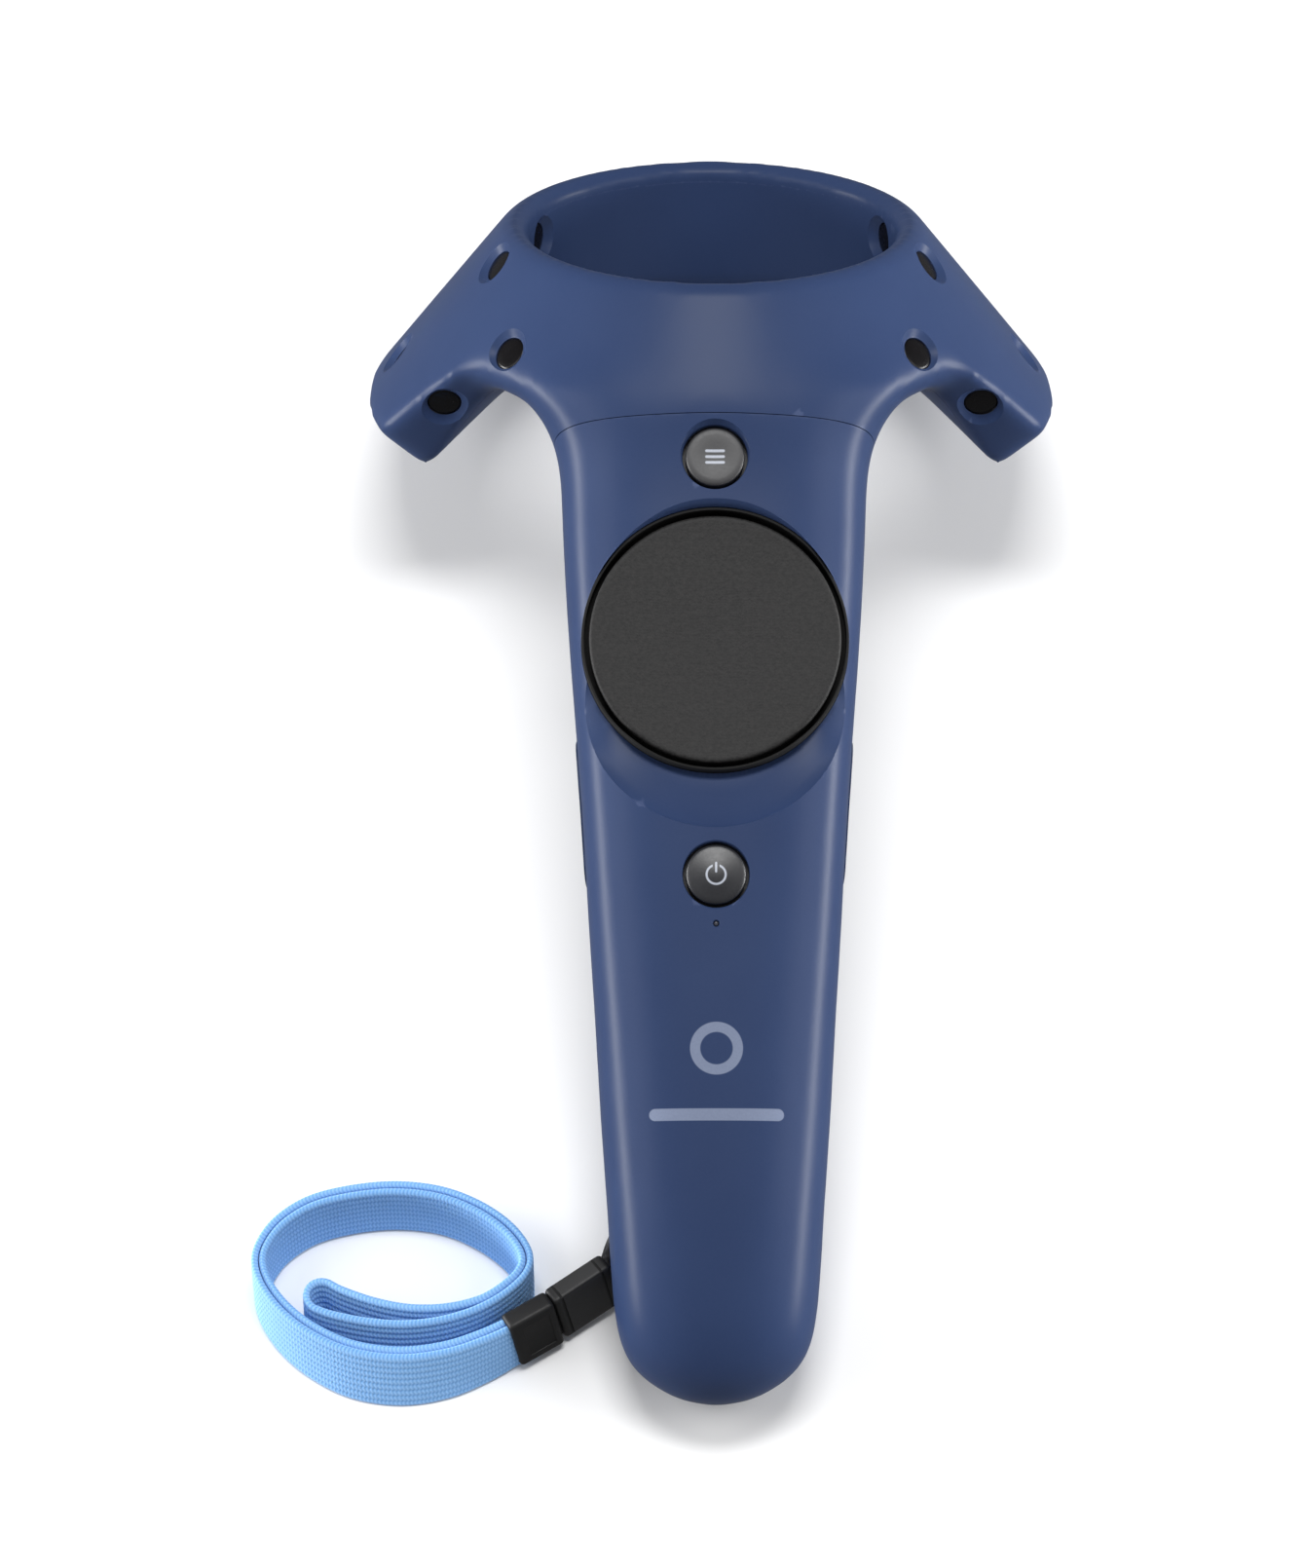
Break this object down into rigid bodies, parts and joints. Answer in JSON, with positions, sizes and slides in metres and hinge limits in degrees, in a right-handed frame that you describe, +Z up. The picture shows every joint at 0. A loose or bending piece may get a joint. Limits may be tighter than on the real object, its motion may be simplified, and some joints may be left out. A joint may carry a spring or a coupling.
{
  "type": "vr motion controller",
  "caption": "Hand-held virtual-reality motion controller: tilted ring head with sensor windows, round trackpad, buttons, trigger, grip buttons and a wrist strap.",
  "frame": {"origin": "centre of the resting controller's bounding box at the table, without the strap", "axes": "+X to the user's right across the wand, +Y from the butt along the table towards the ring head, +Z up from the table; it lies on the ring's far underside and the butt with its trackpad up"},
  "size_m": [0.1328, 0.2222, 0.0734],
  "materials": {
    "shell": "satin moulded, fine grain",
    "black_plastic": "satin",
    "pad_plastic": "fine matt texture",
    "button_plastic": "satin",
    "board": "solder mask",
    "cell": "sensor package",
    "flex": "polyimide film",
    "switch_metal": "stamped",
    "chip_plastic": "moulded package",
    "light_pipe": "clear moulded",
    "magnet": "nickel plated",
    "steel": "drawn",
    "frame_plastic": "moulded",
    "window_plastic": "infrared-pass, polished",
    "screw_steel": "black oxide",
    "can_metal": "tinned",
    "antenna_metal": "plated",
    "foil": "matt foil",
    "cord_fabric": "braided",
    "webbing": "woven, doubled"
  },
  "bodies": {
    "controller": {"head_outer_shell": "shell", "head_inner_shell": "shell", "handle_front_cover": "shell", "handle_rear_cover": "shell", "trackpad_bezel": "black_plastic", "main_board": "board", "usb_board": "board", "sensor_cells": "cell", "sensor_flex": "flex", "trackpad_switch": "switch_metal", "menu_switch": "switch_metal", "system_switch": "switch_metal", "trigger_switch": "switch_metal", "left_grip_switch": "switch_metal", "right_grip_switch": "switch_metal", "trigger_sensor": "chip_plastic", "status_light": "light_pipe", "trigger_pin": "steel", "trigger_spring": "steel", "trigger_bracket": "frame_plastic", "inner_frame": "frame_plastic", "outer_sensor_windows": "window_plastic", "inner_sensor_windows": "window_plastic", "end_sensor_windows": "window_plastic", "board_screws": "screw_steel", "case_screws": "screw_steel", "radio_shield": "can_metal", "haptic_actuator": "can_metal", "usb_socket": "can_metal", "antenna": "antenna_metal", "battery": "foil", "lanyard_anchor": "steel", "strap_cord": "cord_fabric", "strap_connector": "black_plastic", "strap_end_clip": "black_plastic", "strap_webbing": "webbing"},
    "trackpad": {"trackpad_cap": "pad_plastic", "trackpad_board": "board"},
    "menu_button": {"menu_button": "button_plastic"},
    "system_button": {"system_button": "button_plastic"},
    "trigger": {"trigger": "black_plastic", "trigger_magnet": "magnet"},
    "left_grip": {"left_grip_button": "shell"},
    "right_grip": {"right_grip_button": "shell"}
  },
  "joints": [
    {"name": "trackpad_click", "type": "slide", "parent": "controller", "child": "trackpad", "axis": [0, -0.2874, 0.9578], "range_m": [-0.0004, 0], "stiffness_N_per_m": 700, "springref_m": 0.001},
    {"name": "menu_press", "type": "slide", "parent": "controller", "child": "menu_button", "axis": [0, -0.2874, 0.9578], "range_m": [-0.0005, 0], "stiffness_N_per_m": 500, "springref_m": 0.001},
    {"name": "system_press", "type": "slide", "parent": "controller", "child": "system_button", "axis": [0, -0.2874, 0.9578], "range_m": [-0.0005, 0], "stiffness_N_per_m": 500, "springref_m": 0.001},
    {"name": "trigger_hinge", "type": "hinge", "parent": "controller", "child": "trigger", "pos_m": [0, 0.03223, 0.04371], "axis": [-1, 0, 0], "range_deg": [0, 15], "stiffness_Nm_per_rad": 0.03, "springref_deg": -20.05},
    {"name": "left_grip_squeeze", "type": "slide", "parent": "controller", "child": "left_grip", "axis": [-1, 0, 0], "range_m": [-0.0004, 0], "stiffness_N_per_m": 900, "springref_m": 0.001},
    {"name": "right_grip_squeeze", "type": "slide", "parent": "controller", "child": "right_grip", "axis": [1, 0, 0], "range_m": [-0.0004, 0], "stiffness_N_per_m": 900, "springref_m": 0.001}
  ]
}
